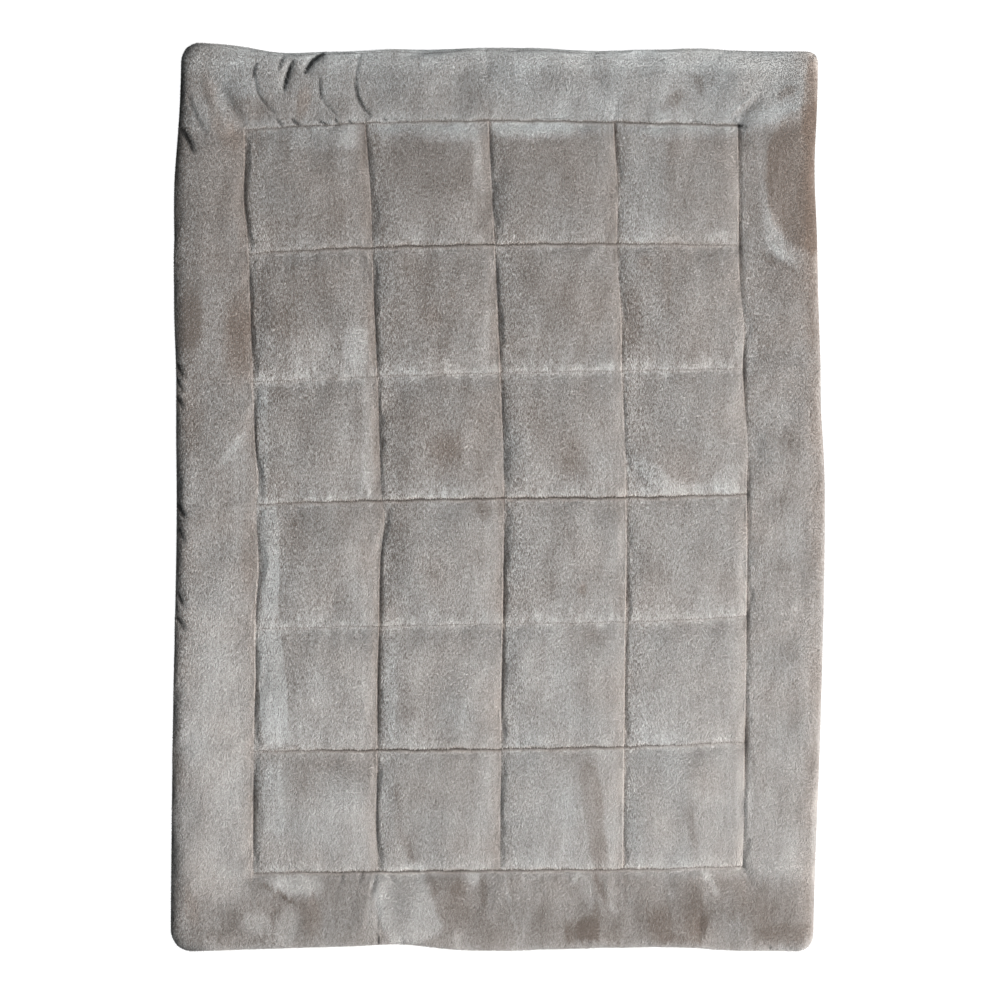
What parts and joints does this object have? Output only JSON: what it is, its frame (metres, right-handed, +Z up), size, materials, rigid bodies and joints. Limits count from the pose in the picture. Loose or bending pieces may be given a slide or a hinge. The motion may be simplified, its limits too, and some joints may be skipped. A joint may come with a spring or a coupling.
{
  "type": "bedspread",
  "caption": "Quilted plush bedspread lying face up: padded squares stitched in a grid inside a wide plain border with a sewn edge and rounded corners.",
  "frame": {"origin": "centre of the outline's box, on the surface that the bedspread lies on", "axes": "+Z up out of the face, +Y towards the head end, +X to the right-hand side of the face"},
  "size_m": [1.443, 2.0022, 0.0295],
  "materials": {
    "plush": "short brushed pile, matt, warm taupe grey"
  },
  "bodies": {
    "root": {"quilt": "plush"}
  },
  "joints": []
}
